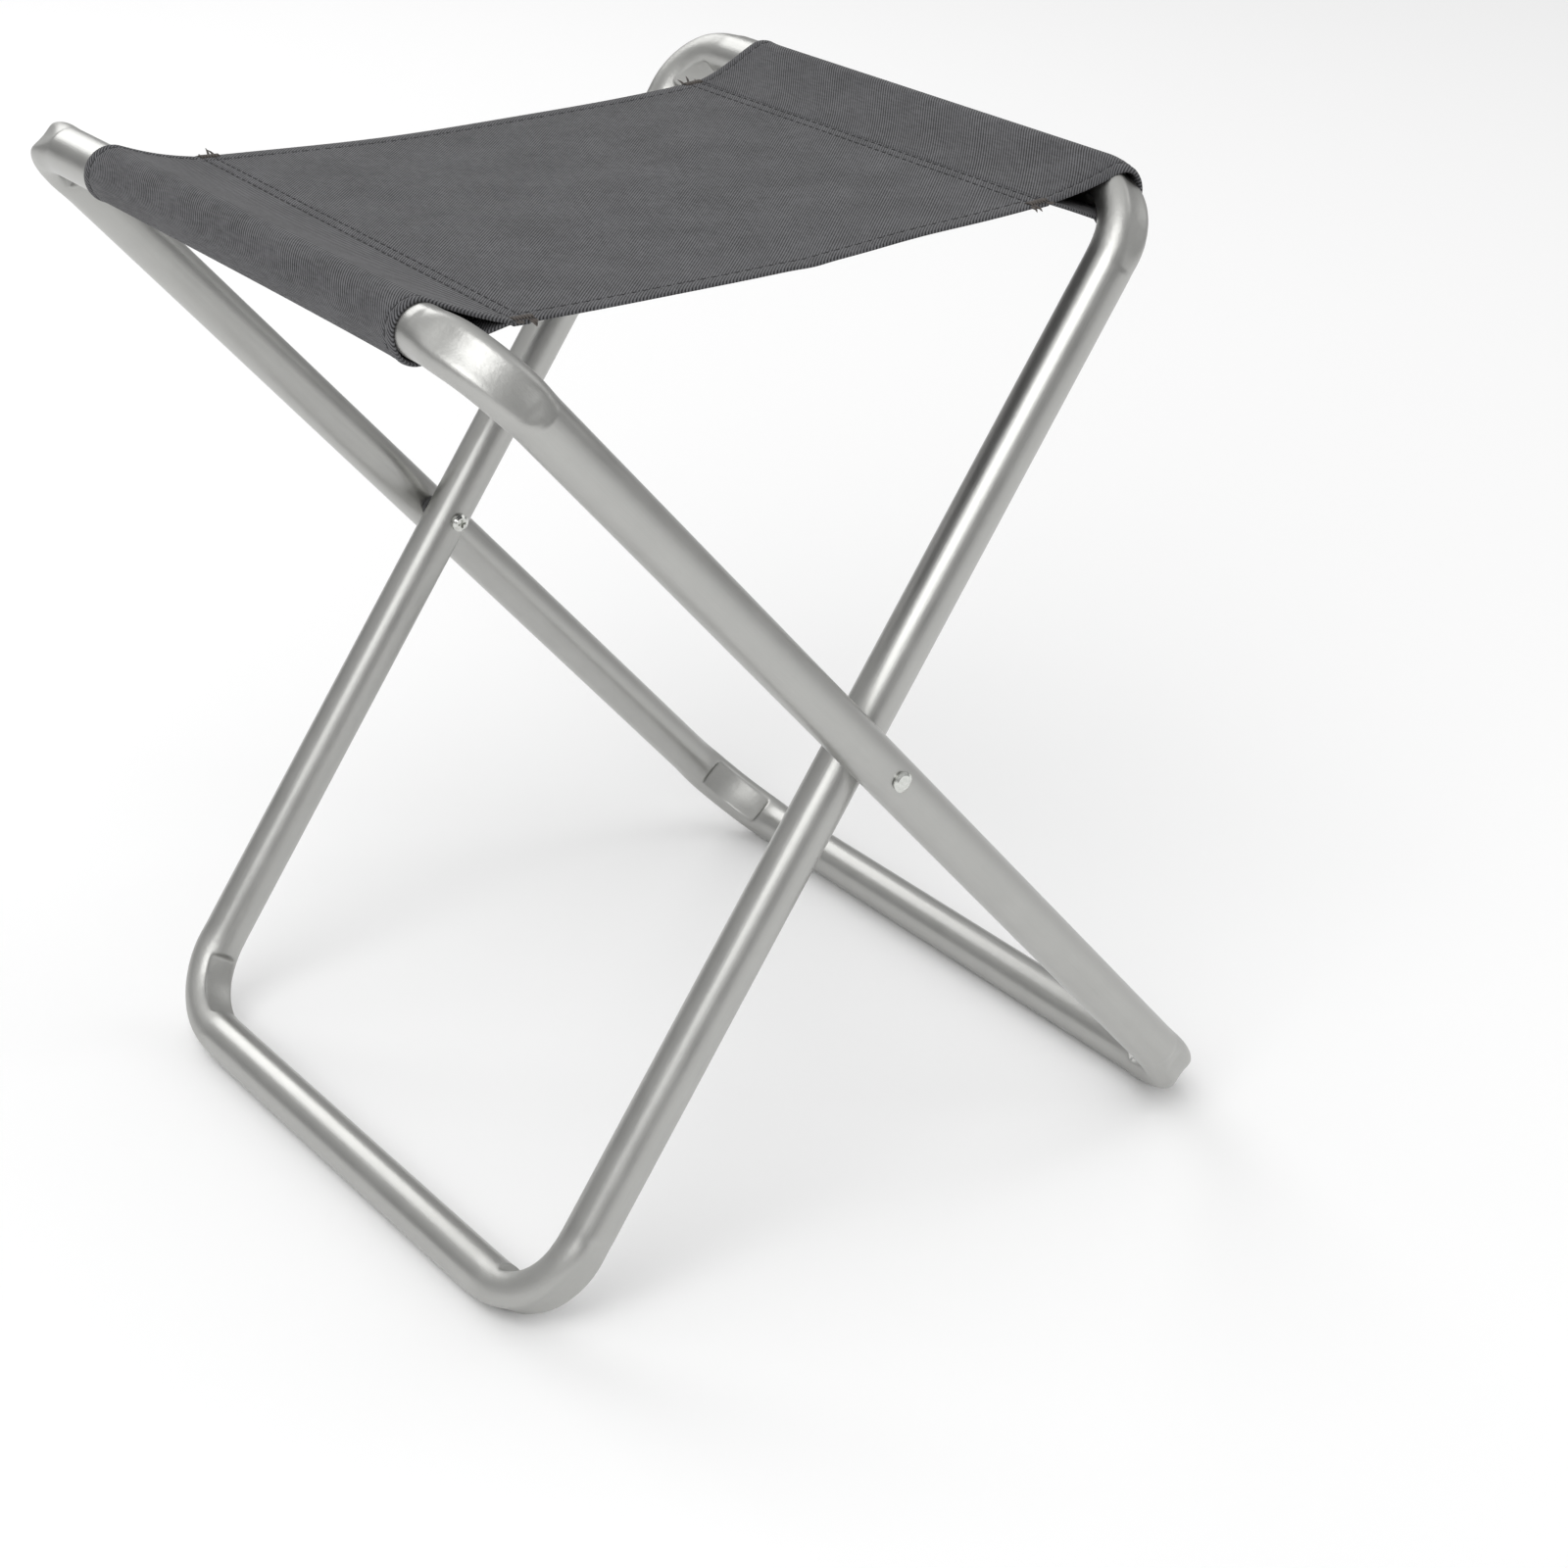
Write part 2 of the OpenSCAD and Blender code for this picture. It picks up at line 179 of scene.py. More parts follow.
# %% A socket that does arithmetic
class Value:
    """A number socket; an expression on it adds Math nodes to the same material."""

    def __init__(self, tree, socket):
        self.tree, self.socket = tree, socket

    def maths(self, operation, *others):
        """Adds a Math node on this value and the others, and gives its result."""
        node = self.tree.nodes.new("ShaderNodeMath")
        node.operation = operation
        for place_in, item in zip(node.inputs, (self,) + others):
            if isinstance(item, Value):
                self.tree.links.new(item.socket, place_in)
            else:
                place_in.default_value = item
        return Value(self.tree, node.outputs[0])

    def __add__(self, other):
        return self.maths("ADD", other)

    def __sub__(self, other):
        return self.maths("SUBTRACT", other)

    def __mul__(self, other):
        return self.maths("MULTIPLY", other)

    __radd__ = __add__
    __rmul__ = __mul__

    def __rsub__(self, other):
        return (self * -1) + other


class Finish:
    """A material with one Principled shader, and the method that adds any other node."""

    def __init__(self, name, **constants):
        self.material = bpy.data.materials.new(name)
        self.material.use_nodes = True
        self.tree = self.material.node_tree
        self.tree.nodes.clear()
        out = self.tree.nodes.new("ShaderNodeOutputMaterial")
        self.shader = self.tree.nodes.new("ShaderNodeBsdfPrincipled")
        self.tree.links.new(self.shader.outputs[0], out.inputs[0])
        for key, value in constants.items():
            self.shader.inputs[key.replace("_", " ")].default_value = value

    def node(self, kind, settings=None, **inputs):
        """Adds a node, sets its settings first, then the values or links of its sockets.

        A socket goes by its name, or by i and its number where several share a name.
        """
        made = self.tree.nodes.new("ShaderNode" + kind)
        for key, value in (settings or {}).items():
            setattr(made, key, value)
        for key, value in inputs.items():
            numbered = key[0] == "i" and key[1:].isdigit()
            socket = made.inputs[int(key[1:]) if numbered else key.replace("_", " ")]
            if isinstance(value, Value):
                self.tree.links.new(value.socket, socket)
            else:
                socket.default_value = value
        return made

    def value(self, made, output=0):
        """Wraps one output of a node."""
        return Value(self.tree, made.outputs[output])

    def coordinate(self, output):
        """The texture coordinate of that name, such as Object or UV."""
        return self.value(self.node("TexCoord"), output)

    def noise(self, vector, scale, detail=3.0, roughness=0.5):
        """Smooth noise about 0.5, with scale lumps to each unit of the vector."""
        return self.value(self.node("TexNoise", Vector=vector, Scale=scale, Detail=detail,
                                    Roughness=roughness), "Fac")

    def mix(self, factor, a, b):
        """The colour a where factor is 0, and b where it is 1."""
        return self.value(self.node("Mix", {"data_type": "RGBA"}, i0=factor, i6=a, i7=b), 2)

    def feed(self, **sockets):
        """Links values to the shader's sockets of those names."""
        for key, value in sockets.items():
            self.tree.links.new(value.socket, self.shader.inputs[key.replace("_", " ")])

    def bump(self, height, distance, strength=1.0):
        """Shades the surface as if it rose by the height times the distance, in metres."""
        self.feed(Normal=self.value(self.node("Bump", Strength=strength, Distance=distance,
                                              Height=height)))


def put(piece, finish):
    """Gives a piece one material."""
    piece.data.materials.clear()
    piece.data.materials.append(finish.material)
    return piece


# %% [markdown]
# ## Satin aluminium
# The tube is drawn, lightly brushed and left satin: long soft highlights, a faint grain along
# the length, and a slightly dull, orange-peel skin where a bend has stretched or crushed it.
# A metal shader with middling roughness gives the highlights. The grain is noise stretched
# along the tube by the tube's own UV map, and a "worked" attribute marks the bends.

# %% The aluminium finish
def satin_aluminium():
    """Tone and roughness vary with the grain and a slow cloud, and more at the worked bends."""
    finish = Finish("satin_aluminium", Metallic=1.0)
    uv = finish.coordinate("UV")
    along = finish.value(finish.node("Mapping", Vector=uv, Scale=(40.0, 2600.0, 1.0)))
    spots = finish.coordinate("Object")
    grain = finish.noise(along, 1.0, 2.0)
    cloud = finish.noise(spots, 55.0, 3.0)
    peel = finish.noise(spots, 420.0, 3.0, 0.6)
    worked = finish.value(finish.node("Attribute", {"attribute_name": "worked"}), "Fac")
    tone = 0.45 + (grain - 0.5) * 0.35 + (cloud - 0.5) * 0.5
    finish.feed(Base_Color=finish.mix(tone, (0.405, 0.405, 0.392, 1), (0.53, 0.53, 0.512, 1)))
    finish.feed(Roughness=0.34 + (cloud - 0.5) * 0.12 + (grain - 0.5) * 0.08 + worked * 0.10)
    finish.bump(grain * 0.35 + peel * (0.3 + worked * 1.5), 0.00007)
    return finish


aluminium = satin_aluminium()
print("made", aluminium.material.name)

# %% [markdown]
# ## The two frames
# Each frame is one tube bent round four corners, without a mandrel, so each bend is crushed:
# its outer wall is drawn flat into a long oval hollow with a raised rim, and its inner wall is
# pressed in by the former, with crisp ends. The tube is a profile carried round a rounded
# rectangle. Two floors, one outside and one inside, cut the circular profile off, and
# they sink towards the middle of each bend.

# %% The path of a frame
def rounded_rectangle(spacing, top, bottom, top_bend, bottom_bend):
    """Walks once round a frame, from the middle of the top rail towards +Y.

    Straights and quarter circles follow each other. Gives the place (across, up), the angle of
    the outward normal, the distance walked, and each bend's (middle, half length, +1 where the
    leg follows the bend or -1 where it comes before).
    """
    half = spacing / 2
    near = 16 * mm

    def straight(start, end, angle):
        """Points from start to end, close together near both ends."""
        length = math.dist(start, end)
        fine = np.linspace(0, near, 18)
        run = np.concatenate([fine, np.linspace(near, length - near, 26)[1:-1],
                              length - fine[::-1]])[:-1] / length
        line = np.outer(1 - run, start) + np.outer(run, end)
        return line, np.full(len(run), angle), length

    def bend(centre, radius, angle):
        """A quarter circle, clockwise from the angle."""
        length = radius * math.pi / 2
        run = np.arange(0, 1, 0.85 * mm / length)
        turned = angle - run * math.pi / 2
        arc = np.array(centre) + radius * np.stack([np.cos(turned), np.sin(turned)], 1)
        return arc, turned, length

    quarter = math.pi / 2
    t, b = top_bend, bottom_bend
    parts = [
        straight((0, top), (half - t, top), quarter),
        bend((half - t, top - t), t, quarter),
        straight((half, top - t), (half, b - bottom), 0),
        bend((half - b, b - bottom), b, 0),
        straight((half - b, -bottom), (b - half, -bottom), -quarter),
        bend((b - half, b - bottom), b, -quarter),
        straight((-half, b - bottom), (-half, top - t), -2 * quarter),
        bend((t - half, top - t), t, -2 * quarter),
        straight((t - half, top), (0, top), -3 * quarter),
    ]
    starts = np.cumsum([0] + [part[2] for part in parts])
    centres = np.concatenate([part[0] for part in parts])
    normals = np.concatenate([part[1] for part in parts])
    walked = np.concatenate([starts[k] + np.concatenate([[0], np.cumsum(np.linalg.norm(
        np.diff(part[0], axis=0), axis=1))]) for k, part in enumerate(parts)])
    bends = [(starts[k] + parts[k][2] / 2, parts[k][2] / 2, leg)
             for k, leg in ((1, 1), (3, -1), (5, 1), (7, -1))]
    return centres, normals, walked, starts[-1], bends


# %% The crushed tube
outer_floor, outer_hollow, outer_rim = 0.72, 0.30, 2.0 * mm
inner_floor, inner_hollow, inner_rim = 0.66, 0.16, 0.7 * mm
points_round = 96


def crushed_tube(name, spacing, top, bottom, top_bend, bottom_bend, lean, fade):
    """A frame's tube. Its section is a circle (r cos a, r sin a); its outward part is kept under
    a limit r (floor + rise) + hollow * q * q / r, and its inward part likewise. q is the place
    across the hollow, and the rise lifts the limit clear of the circle beyond the bend's ends.
    fade is how gently the outer hollow runs out on the leg's side, as a share of half the bend.
    """
    centres, normals, walked, total, bends = rounded_rectangle(
        spacing, top, bottom, top_bend, bottom_bend)
    turn = np.arange(points_round) * (2 * math.pi / points_round)
    r = tube_radius
    signed = np.stack([(walked - middle) / length * leg for middle, length, leg in bends], 1)
    nearest = np.abs(signed).argmin(1)
    t = signed[np.arange(len(walked)), nearest][:, None]
    outer_rise = smooth_step((t - 0.98 + fade / 2) / fade) + smooth_step((-t - 0.62) / 0.85)
    inner_rise = smooth_step((np.abs(t) - 0.66) / 0.24)
    p, q = r * np.cos(turn)[None, :], r * np.sin(turn)[None, :]
    clear = 2.5 * smooth_step((outer_rise - 0.75) / 0.25)
    outside = r * (outer_floor + 0.5 * outer_rise + clear) + outer_hollow * q * q / r
    inside = r * (inner_floor + 0.6 * inner_rise) + inner_hollow * q * q / r
    p = soft_min(p, outside, outer_rim)
    p = -soft_min(-p, inside, inner_rim)
    widened = 1 - smooth_step((np.abs(t) - 0.55) / 0.7)
    q = q * (1 + 0.06 * widened)
    out_y, out_u = np.cos(normals)[:, None], np.sin(normals)[:, None]
    y = centres[:, :1] + p * out_y
    u = centres[:, 1:] + p * out_u
    up_leg = np.array([math.cos(lean), 0, math.sin(lean)])
    face = np.array([math.sin(lean), 0, -math.cos(lean)])
    points = (pivot + y[..., None] * np.array([0, 1, 0]) + u[..., None] * up_leg
              + q[..., None] * face)
    run = np.append(walked, total)
    uv = np.stack(np.broadcast_arrays(run[:, None], np.append(turn, 2 * math.pi) * r), -1)
    piece = grid_piece(name, points, (True, True), uv)
    worked = np.broadcast_to(1 - smooth_step((np.abs(t) - 0.8) / 0.4), q.shape)
    mark = piece.data.attributes.new("worked", "FLOAT", "POINT")
    mark.data.foreach_set("value", worked.ravel().astype(np.float32))
    return piece


def facing(piece):
    """Turns a closed mesh's faces outwards if their signed volume says they point inwards."""
    mesh = piece.data
    mesh.calc_loop_triangles()
    corners = np.empty(len(mesh.loop_triangles) * 3, np.int32)
    mesh.loop_triangles.foreach_get("vertices", corners)
    at = np.empty(len(mesh.vertices) * 3, np.float32)
    mesh.vertices.foreach_get("co", at)
    a, b, c = at.reshape(-1, 3).astype(float)[corners.reshape(-1, 3)].transpose(1, 0, 2)
    volume = (a * np.cross(b, c)).sum() / 6
    if volume < 0:
        mesh.flip_normals()
    return abs(volume)


def leg_spacing(node):
    """The node's box along Y, less one tube: the distance between the legs' middles."""
    low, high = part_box(node)
    return high[1] - low[1] - 2 * tube_radius


def add_frame(name, node, body, rail, bends, fade):
    """Measures a frame from its CAD node and the pivot, and adds its tube.

    The rail's direction from the pivot gives the lean, and the height of the pivot over the
    ground gives the length of the lower part.
    """
    reach = rail - pivot
    lean = math.atan2(reach[2], reach[0])
    bottom = (pivot[2] - tube_radius) / math.sin(lean)
    piece = crushed_tube(name, leg_spacing(node), np.linalg.norm(reach), bottom,
                         bends[0], bends[1], lean, fade)
    volume = facing(piece)
    put(piece, aluminium)
    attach(piece, body)
    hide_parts(node)
    print(name, "lean", round(math.degrees(lean), 2), "litres", round(volume * 1000, 3))


outer_bends = (28 * mm, 38 * mm)
inner_bends = (26 * mm, 34 * mm)
add_frame("outer_tube", "outer_frame_tube", "outer_frame", left_rail, outer_bends, 0.42)
add_frame("inner_tube", "inner_frame_tube", "inner_frame", right_rail, inner_bends, 1.1)

# %% [markdown]
# ## The seat's cloth
# The seat is one strip of coarse polyester twill. It is looped round both rails and sewn back
# to itself with two rows of stitching, and its long edges are hemmed. Each stretch of cloth
# here is a flat tube: a section that goes across the cloth on top and comes back underneath,
# so that the edges are round and the hems are really thicker, carried along a path.

# %% Sizes of the cloth
cloth = 0.7 * mm
hem = 9 * mm
hem_row = 7.5 * mm
mouth_row = 5 * mm
lap = 7 * mm
row_gap = 5 * mm
first_row = (lap - row_gap) / 2
loop_radius = tube_radius + 0.25 * mm + cloth / 2
front_edge = float(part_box("seat_sleeve_left")[0][1])
rear_edge = float(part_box("seat_sleeve_left")[1][1])
width = rear_edge - front_edge
sag = 3.5 * mm
stitch_thread, stitch_arch = 0.55 * mm, 0.3 * mm
hem_pitch, hem_stitch = 5.0 * mm, 3.6 * mm
seam_pitch, seam_stitch = 4.4 * mm, 3.3 * mm
print("cloth", round(width / mm, 1), "mm wide, from", front_edge, "to", rear_edge)


def edge_shift(x):
    """How far the front and the rear edge draw in from the cloth's full width at each place x.

    The pull of the seat bows both edges in, by an arch of a sine at the front and a smooth step
    up and down at the rear. The cloth has also slid a little on the left rail.
    """
    t = np.clip((x - left_rail[0]) / (right_rail[0] - left_rail[0]), 0, 1)
    front = (6.0 * (1 - t) + 2.5 * np.sin(math.pi * t)) * mm
    rear = (0.5 + 8.5 * smooth_step(t / 0.88) - 6.5 * smooth_step((t - 0.88) / 0.12)) * mm
    return front, rear


def seam_lift(share):
    """How much higher than the level seam the left and the right seam lie, from front to rear."""
    return (4.6 * share - 1.4) * mm, (0.9 - 1.3 * share) * mm


def across(x, share):
    """The y of a point at that share of the width, 0 at the front and 1 at the rear."""
    front, rear = edge_shift(x)
    return (front_edge + front) * (1 - share) + (rear_edge - rear) * share


def width_samples():
    """Shares of the width, closer together at the hems' edges and rows."""
    fine = np.array([0, 0.35, 0.9, 1.6, 2.6, 3.8, 4.4, 4.7, 5.0, 5.3, 5.7, 6.3, 6.9, 7.2, 7.5,
                     7.8, 8.1, 8.5, 8.9, 9.3, 9.9, 10.8, 12.0, 14.0]) * mm / width
    middle = np.linspace(16 * mm / width, 1 - 16 * mm / width, 84)
    return np.concatenate([fine, middle, 1 - fine[::-1]])


shares = width_samples()
edge_distance = np.minimum(shares, 1 - shares) * width
in_hem = 1 - smooth_step((edge_distance - hem + 0.6 * mm) / (0.8 * mm))


def section_offsets(row, plump):
    """Heights of the cloth's top and underside above its middle, across the width.

    The top has a groove at the stitched row, a rolled edge that is plump outside it, and a
    faint step where the hem ends. The underside is one layer lower along the hem. Both close
    together at the very edge, so that it is round. Gives the top's heights and then the
    underside's, as one closed ring.
    """
    groove = 0.28 * mm * np.exp(-((edge_distance - row) / (0.6 * mm)) ** 2)
    puff = plump * np.exp(-((edge_distance - row / 2) / (row * 0.3)) ** 2)
    top = cloth / 2 - groove + puff + 0.08 * mm * in_hem
    under = -cloth / 2 - 0.9 * cloth * in_hem + groove * 0.5
    middle = (top + under) / 2
    round_off = np.sqrt(np.clip(1 - (1 - edge_distance / (0.9 * mm)).clip(0, 1) ** 2, 0, 1))
    top, under = middle + (top - middle) * round_off, middle + (under - middle) * round_off
    return np.concatenate([top, under[::-1][1:-1]])


panel_section = section_offsets(hem_row, 0.15 * mm)
mouth_section = section_offsets(mouth_row, 0.4 * mm)
print("points round the cloth's section:", len(panel_section))


# %% [markdown]
# The panel hangs a few millimetres lower in its middle than at its seams, with a ripple at the
# front hem. The loops leave the seam, run straight to the rail, go round it, and come back.
# Each of these is a function from a distance and a share of the width to a place and a normal.

# %% The panel's surface
def panel_middle(x, share):
    """Middle surface of the panel: a parabola between the seams, and small soft waves.

    t goes from 0 at the left seam to 1 at the right one. Near the front edge a broad hump and
    a narrow dip are added, each a bell curve in t, and everywhere a slow product of sines.
    """
    t = (x - left_seam[0]) / (right_seam[0] - left_seam[0])
    left_lift, right_lift = seam_lift(share)
    z = left_seam[2] + left_lift * (1 - t) + right_lift * t - 4 * sag * t * (1 - t)
    calm = (4 * t * (1 - t)).clip(0, 1)
    front = np.exp(-share * width / (30 * mm))
    z = z + 0.7 * mm * front * np.exp(-((t - 0.74) / 0.10) ** 2)
    z = z - 0.5 * mm * front * np.exp(-((t - 0.54) / 0.03) ** 2)
    z = z + calm * 0.4 * mm * np.sin(9 * t + 5 * share) * np.sin(4 * share + 2 * t)
    return np.stack([x + 0 * z, across(x, share) + 0 * z, z], -1)


def row_groove(distance):
    """Depth of the two rows' grooves, at a distance from the seam."""
    return 0.3 * mm * (np.exp(-((distance - first_row) / (0.55 * mm)) ** 2)
                       + np.exp(-((distance - first_row - row_gap) / (0.55 * mm)) ** 2))


def normals_of(middle):
    """Unit normals of a grid of points, from the differences along its two directions."""
    du = np.gradient(middle, axis=0)
    dv = np.gradient(middle, axis=1)
    n = np.cross(du, dv)
    return n / np.linalg.norm(n, axis=-1, keepdims=True)


def thick_cloth(name, middle, run, section, groove=None, extra=None, up=(0, 0, 1), u_sign=1):
    """Gives a middle surface, a grid over (run, shares), the section's thickness.

    Each point moves along the surface's normal by the section's offset, less the groove on
    the upper side; extra is how much thicker the underside is, such as over a lap. u_sign is
    -1 where the run goes towards -X, so that the weave runs on unbroken from the panel.
    """
    n = normals_of(middle)
    if (n * np.array(up)).sum(-1).mean() < 0:
        n = -n
    back = slice(-2, 0, -1)
    round_middle = np.concatenate([middle, middle[:, back]], 1)
    round_normal = np.concatenate([n, n[:, back]], 1)
    offsets = np.tile(section, (len(run), 1))
    if groove is not None:
        offsets[:, :len(shares)] -= groove[:, None] * (edge_distance > 1 * mm)
    if extra is not None:
        offsets[:, len(shares):] -= extra[:, None]
    points = round_middle + round_normal * offsets[..., None]
    v = np.concatenate([shares, shares[back]]) * width
    v = np.append(v, v[0])
    uv = np.stack(np.broadcast_arrays(u_sign * run[:, None], v[None, :]), -1)
    piece = grid_piece(name, points, (False, True), uv, caps=True)
    volume = facing(piece)
    print(name, "points", points.shape[:2], "cubic centimetres", round(volume * 1e6, 2))
    return piece


def fine_run(length, fine_until, fine_from, coarse):
    """Distances from 0 to length, fine at both ends and coarse between."""
    return np.concatenate([np.arange(0, fine_until, 0.35 * mm),
                           np.arange(fine_until, fine_from, coarse),
                           np.arange(fine_from, length, 0.35 * mm), [length]])


panel_length = right_seam[0] - left_seam[0]
panel_run = fine_run(panel_length, lap + 1 * mm, panel_length - lap - 1 * mm, 1.7 * mm)
panel_middle_grid = panel_middle(left_seam[0] + panel_run[:, None], shares[None, :])
from_seam = np.minimum(panel_run, panel_length - panel_run)
over_lap = 0.8 * cloth * (1 - smooth_step((from_seam - lap + 0.4 * mm) / (0.6 * mm)))
panel = thick_cloth("seat_panel", panel_middle_grid, panel_run, panel_section,
                    row_groove(from_seam), over_lap)


# %% The loops' surfaces
def loop_path(tip, rail, inwards):
    """Outline of a loop from its tip on the seam, over the rail, round it and back to the tip.

    The straight parts are tangents from the tip to a circle round the rail. inwards is +1 where
    the tip lies on the +X side. Gives the way out, the arc and the way home, as points (x, z)
    measured from the rail.
    """
    to_tip = np.array([(tip[0] - rail[0]) * inwards, tip[2] - rail[2]])
    far = np.linalg.norm(to_tip)
    lie = math.atan2(to_tip[1], to_tip[0])
    open_angle = math.acos(loop_radius / far)
    turn = np.linspace(lie + open_angle, lie + 2 * math.pi - open_angle, 70)
    arc = loop_radius * np.stack([np.cos(turn), np.sin(turn)], 1)
    share_out = np.linspace(0, 1, 30)[:-1, None]
    out = to_tip * (1 - share_out) + arc[0] * share_out
    out[:, 1] -= 0.8 * mm * np.sin(math.pi * share_out[:, 0])
    home = arc[-1] * (1 - share_out[1:]) + to_tip * share_out[1:]
    return out, arc, np.concatenate([home, [to_tip]])


def along(line):
    """The distance walked along a line of points, from its first."""
    return np.concatenate([[0], np.cumsum(np.linalg.norm(np.diff(line, axis=0), axis=1))])


def on_rail(line, rail, inwards):
    """Spreads an outline (x, z) over the width, drawing in its edges as the panel's are.

    The tip follows the seam's height, and the underside hangs a little loose at the front.
    """
    x = rail[0] + inwards * line[:, :1]
    y = across(np.broadcast_to(x, (len(line), len(shares))), shares[None, :])
    lift = seam_lift(shares)[0 if inwards > 0 else 1][None, :]
    to_tip = np.clip(line[:, :1] / line[:, 0].max(), 0, 1)
    loose = np.exp(-shares * width / (70 * mm))[None, :] * 1.8 * mm * (inwards > 0)
    under = np.clip(-line[:, 1:] / loop_radius, 0, 1)
    z = rail[2] + line[:, 1:] + lift * to_tip ** 1.5 - loose * under * (1 - to_tip)
    return np.stack([np.broadcast_to(x, y.shape), y, z], -1)


def sink_with_bend(points, line, rail, spacing, bend):
    """Lets a loop's end drop with the tube inside it, where the rail turns down to its leg.

    At a distance d past the start of the bend, the tube's middle line has dropped by
    bend - sqrt(bend*bend - d*d) along the leg. The drop fades towards the loop's tip.
    """
    leg = (rail - pivot) / np.linalg.norm(rail - pivot)
    past = (np.abs(points[..., 1]) - (spacing / 2 - bend)).clip(0, bend * 0.8)
    drop = bend - np.sqrt(bend ** 2 - past ** 2)
    hold = 1 - np.clip(line[:, :1] / line[:, 0].max(), 0, 1)
    return points - (drop * hold)[..., None] * leg


def clear_of_bend(points, spacing, rail, bend, reach):
    """Moves points that lie inside a bent tube out to its surface.

    In the frame's own plane (y across, u up the leg, n square to it) the tube's middle line is
    a quarter circle and then the leg. A point nearer to that line than reach is moved straight
    away from it to that distance.
    """
    leg = rail - pivot
    leg = leg / np.linalg.norm(leg)
    square = np.cross([0, 1, 0], leg)
    moved = points.copy()
    for side in (-1, 1):
        y = moved[..., 1] * side - (spacing / 2 - bend)
        u = (moved - rail) @ leg + bend
        n = (moved - rail) @ square
        ring = np.hypot(y, u)
        in_bend = (y > 0) & (u > 0)
        radial = np.where(in_bend, ring - bend, y - bend)
        distance = np.hypot(radial, n)
        push = np.where((y > 0) & (distance < reach), reach / np.maximum(distance, 1e-6), 1)
        radial, n = radial * push, n * push
        new_y = np.where(in_bend, y / np.maximum(ring, 1e-9) * (bend + radial), bend + radial)
        new_u = np.where(in_bend, u / np.maximum(ring, 1e-9) * (bend + radial), u)
        touched = (push > 1)[..., None]
        target = (rail + (new_u - bend)[..., None] * leg + n[..., None] * square)
        target[..., 1] = (new_y + spacing / 2 - bend) * side
        moved = np.where(touched, target, moved)
    return moved


out, arc, home = loop_path(left_seam, left_rail, 1)
top_line = np.concatenate([out, arc])
left_top = thick_cloth("seat_loop_left_top", on_rail(top_line, left_rail, 1), along(top_line),
                       mouth_section, u_sign=-1)
under_line = np.concatenate([arc[-1:], home])
left_under = thick_cloth("seat_loop_left_under", on_rail(under_line, left_rail, 1),
                         along(under_line), mouth_section, up=(0, 0, -1))
out, arc, home = loop_path(right_seam, right_rail, -1)
whole = np.concatenate([out, arc, home])
inner_spacing = leg_spacing("inner_frame_tube")
right_grid = sink_with_bend(on_rail(whole, right_rail, -1), whole, right_rail, inner_spacing,
                            inner_bends[0])
right_grid = clear_of_bend(right_grid, inner_spacing, right_rail, inner_bends[0], loop_radius)
right_loop = thick_cloth("seat_loop_right", right_grid, along(whole), mouth_section)

# %% [markdown]
# ## Twill
# The cloth's ridges run at 45 degrees. The pattern lives in the cloth's own UV map, which is in
# metres, so it goes round the rails with the cloth: one wave across the ridges, a second,
# finer one along them for the floats of the yarn, and slow noise for wear. The colour follows
# the same waves as the bump, so the valleys between ridges and floats are painted darker:
# painted shade in the weave's grooves.

# %% The cloth finish
ridge_pitch, float_pitch = 0.00150, 0.00095


def twill(name, dark, light):
    """Tone and height are both a sine across the ridges, a weaker one along them, and noise.

    The tone is darkest where the height is lowest, as painted shade in the weave's valleys.
    """
    finish = Finish(name, Roughness=0.82, Sheen_Weight=0.12, Sheen_Roughness=0.4,
                    Specular_IOR_Level=0.3)
    uv = finish.coordinate("UV")
    split = finish.node("SeparateXYZ", Vector=uv)
    u, v = finish.value(split, 0), finish.value(split, 1)
    ridge = ((u - v) * (2 * math.pi / ridge_pitch)).maths("SINE")
    float_yarn = ((u * 2.0 + v) * (2 * math.pi / float_pitch)).maths("SINE")
    slub = finish.noise(finish.value(finish.node("Mapping", Vector=uv,
                                                 Scale=(900.0, 160.0, 1.0))), 1.0, 2.0)
    cloud = finish.noise(uv, 38.0, 3.0)
    height = ridge * 0.5 + float_yarn * 0.06 + (slub - 0.5) * 0.5
    # Painted shade: the ridge and float waves darken the tone in the weave's valleys, where the
    # bump lowers the cloth. The slub and the cloud are the yarn's own uneven tone.
    tone = 0.5 + ridge * 0.5 + float_yarn * 0.05 + (slub - 0.5) * 0.8 + (cloud - 0.5) * 0.5
    finish.feed(Base_Color=finish.mix(tone.maths("MINIMUM", 1.0).maths("MAXIMUM", 0.0),
                                      dark, light))
    finish.bump(height, 0.00022, 0.8)
    return finish


# The dark end of the mix is mostly painted shade at the bottom of the weave's valleys.
grey_twill = twill("grey_twill", (0.012, 0.012, 0.0130, 1), (0.142, 0.142, 0.150, 1))
for piece in (panel, left_top, left_under, right_loop):
    put(piece, grey_twill)
print("made", grey_twill.material.name)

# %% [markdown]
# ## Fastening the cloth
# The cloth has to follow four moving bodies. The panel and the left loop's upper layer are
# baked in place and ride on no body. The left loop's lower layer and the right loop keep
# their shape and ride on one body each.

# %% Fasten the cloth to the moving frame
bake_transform(panel)
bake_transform(left_top)
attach(left_under, "seat_loop_left")
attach(right_loop, "seat_loop_right")
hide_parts("seat_panel_left", "seat_panel_right")
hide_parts("seat_sleeve_left")
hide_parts("seat_sleeve_left")
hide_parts("seat_sleeve_right")
print("cloth fastened; the crease is at", crease)

# %% [markdown]
# ## Stitches
# Each stitch is a short, fat strand that dips into the cloth at both ends. All stitches of a
# row are one small shape repeated: its points are scaled along the row, across it and square to
# the cloth. The rows sit in the grooves that were pressed into the cloth.

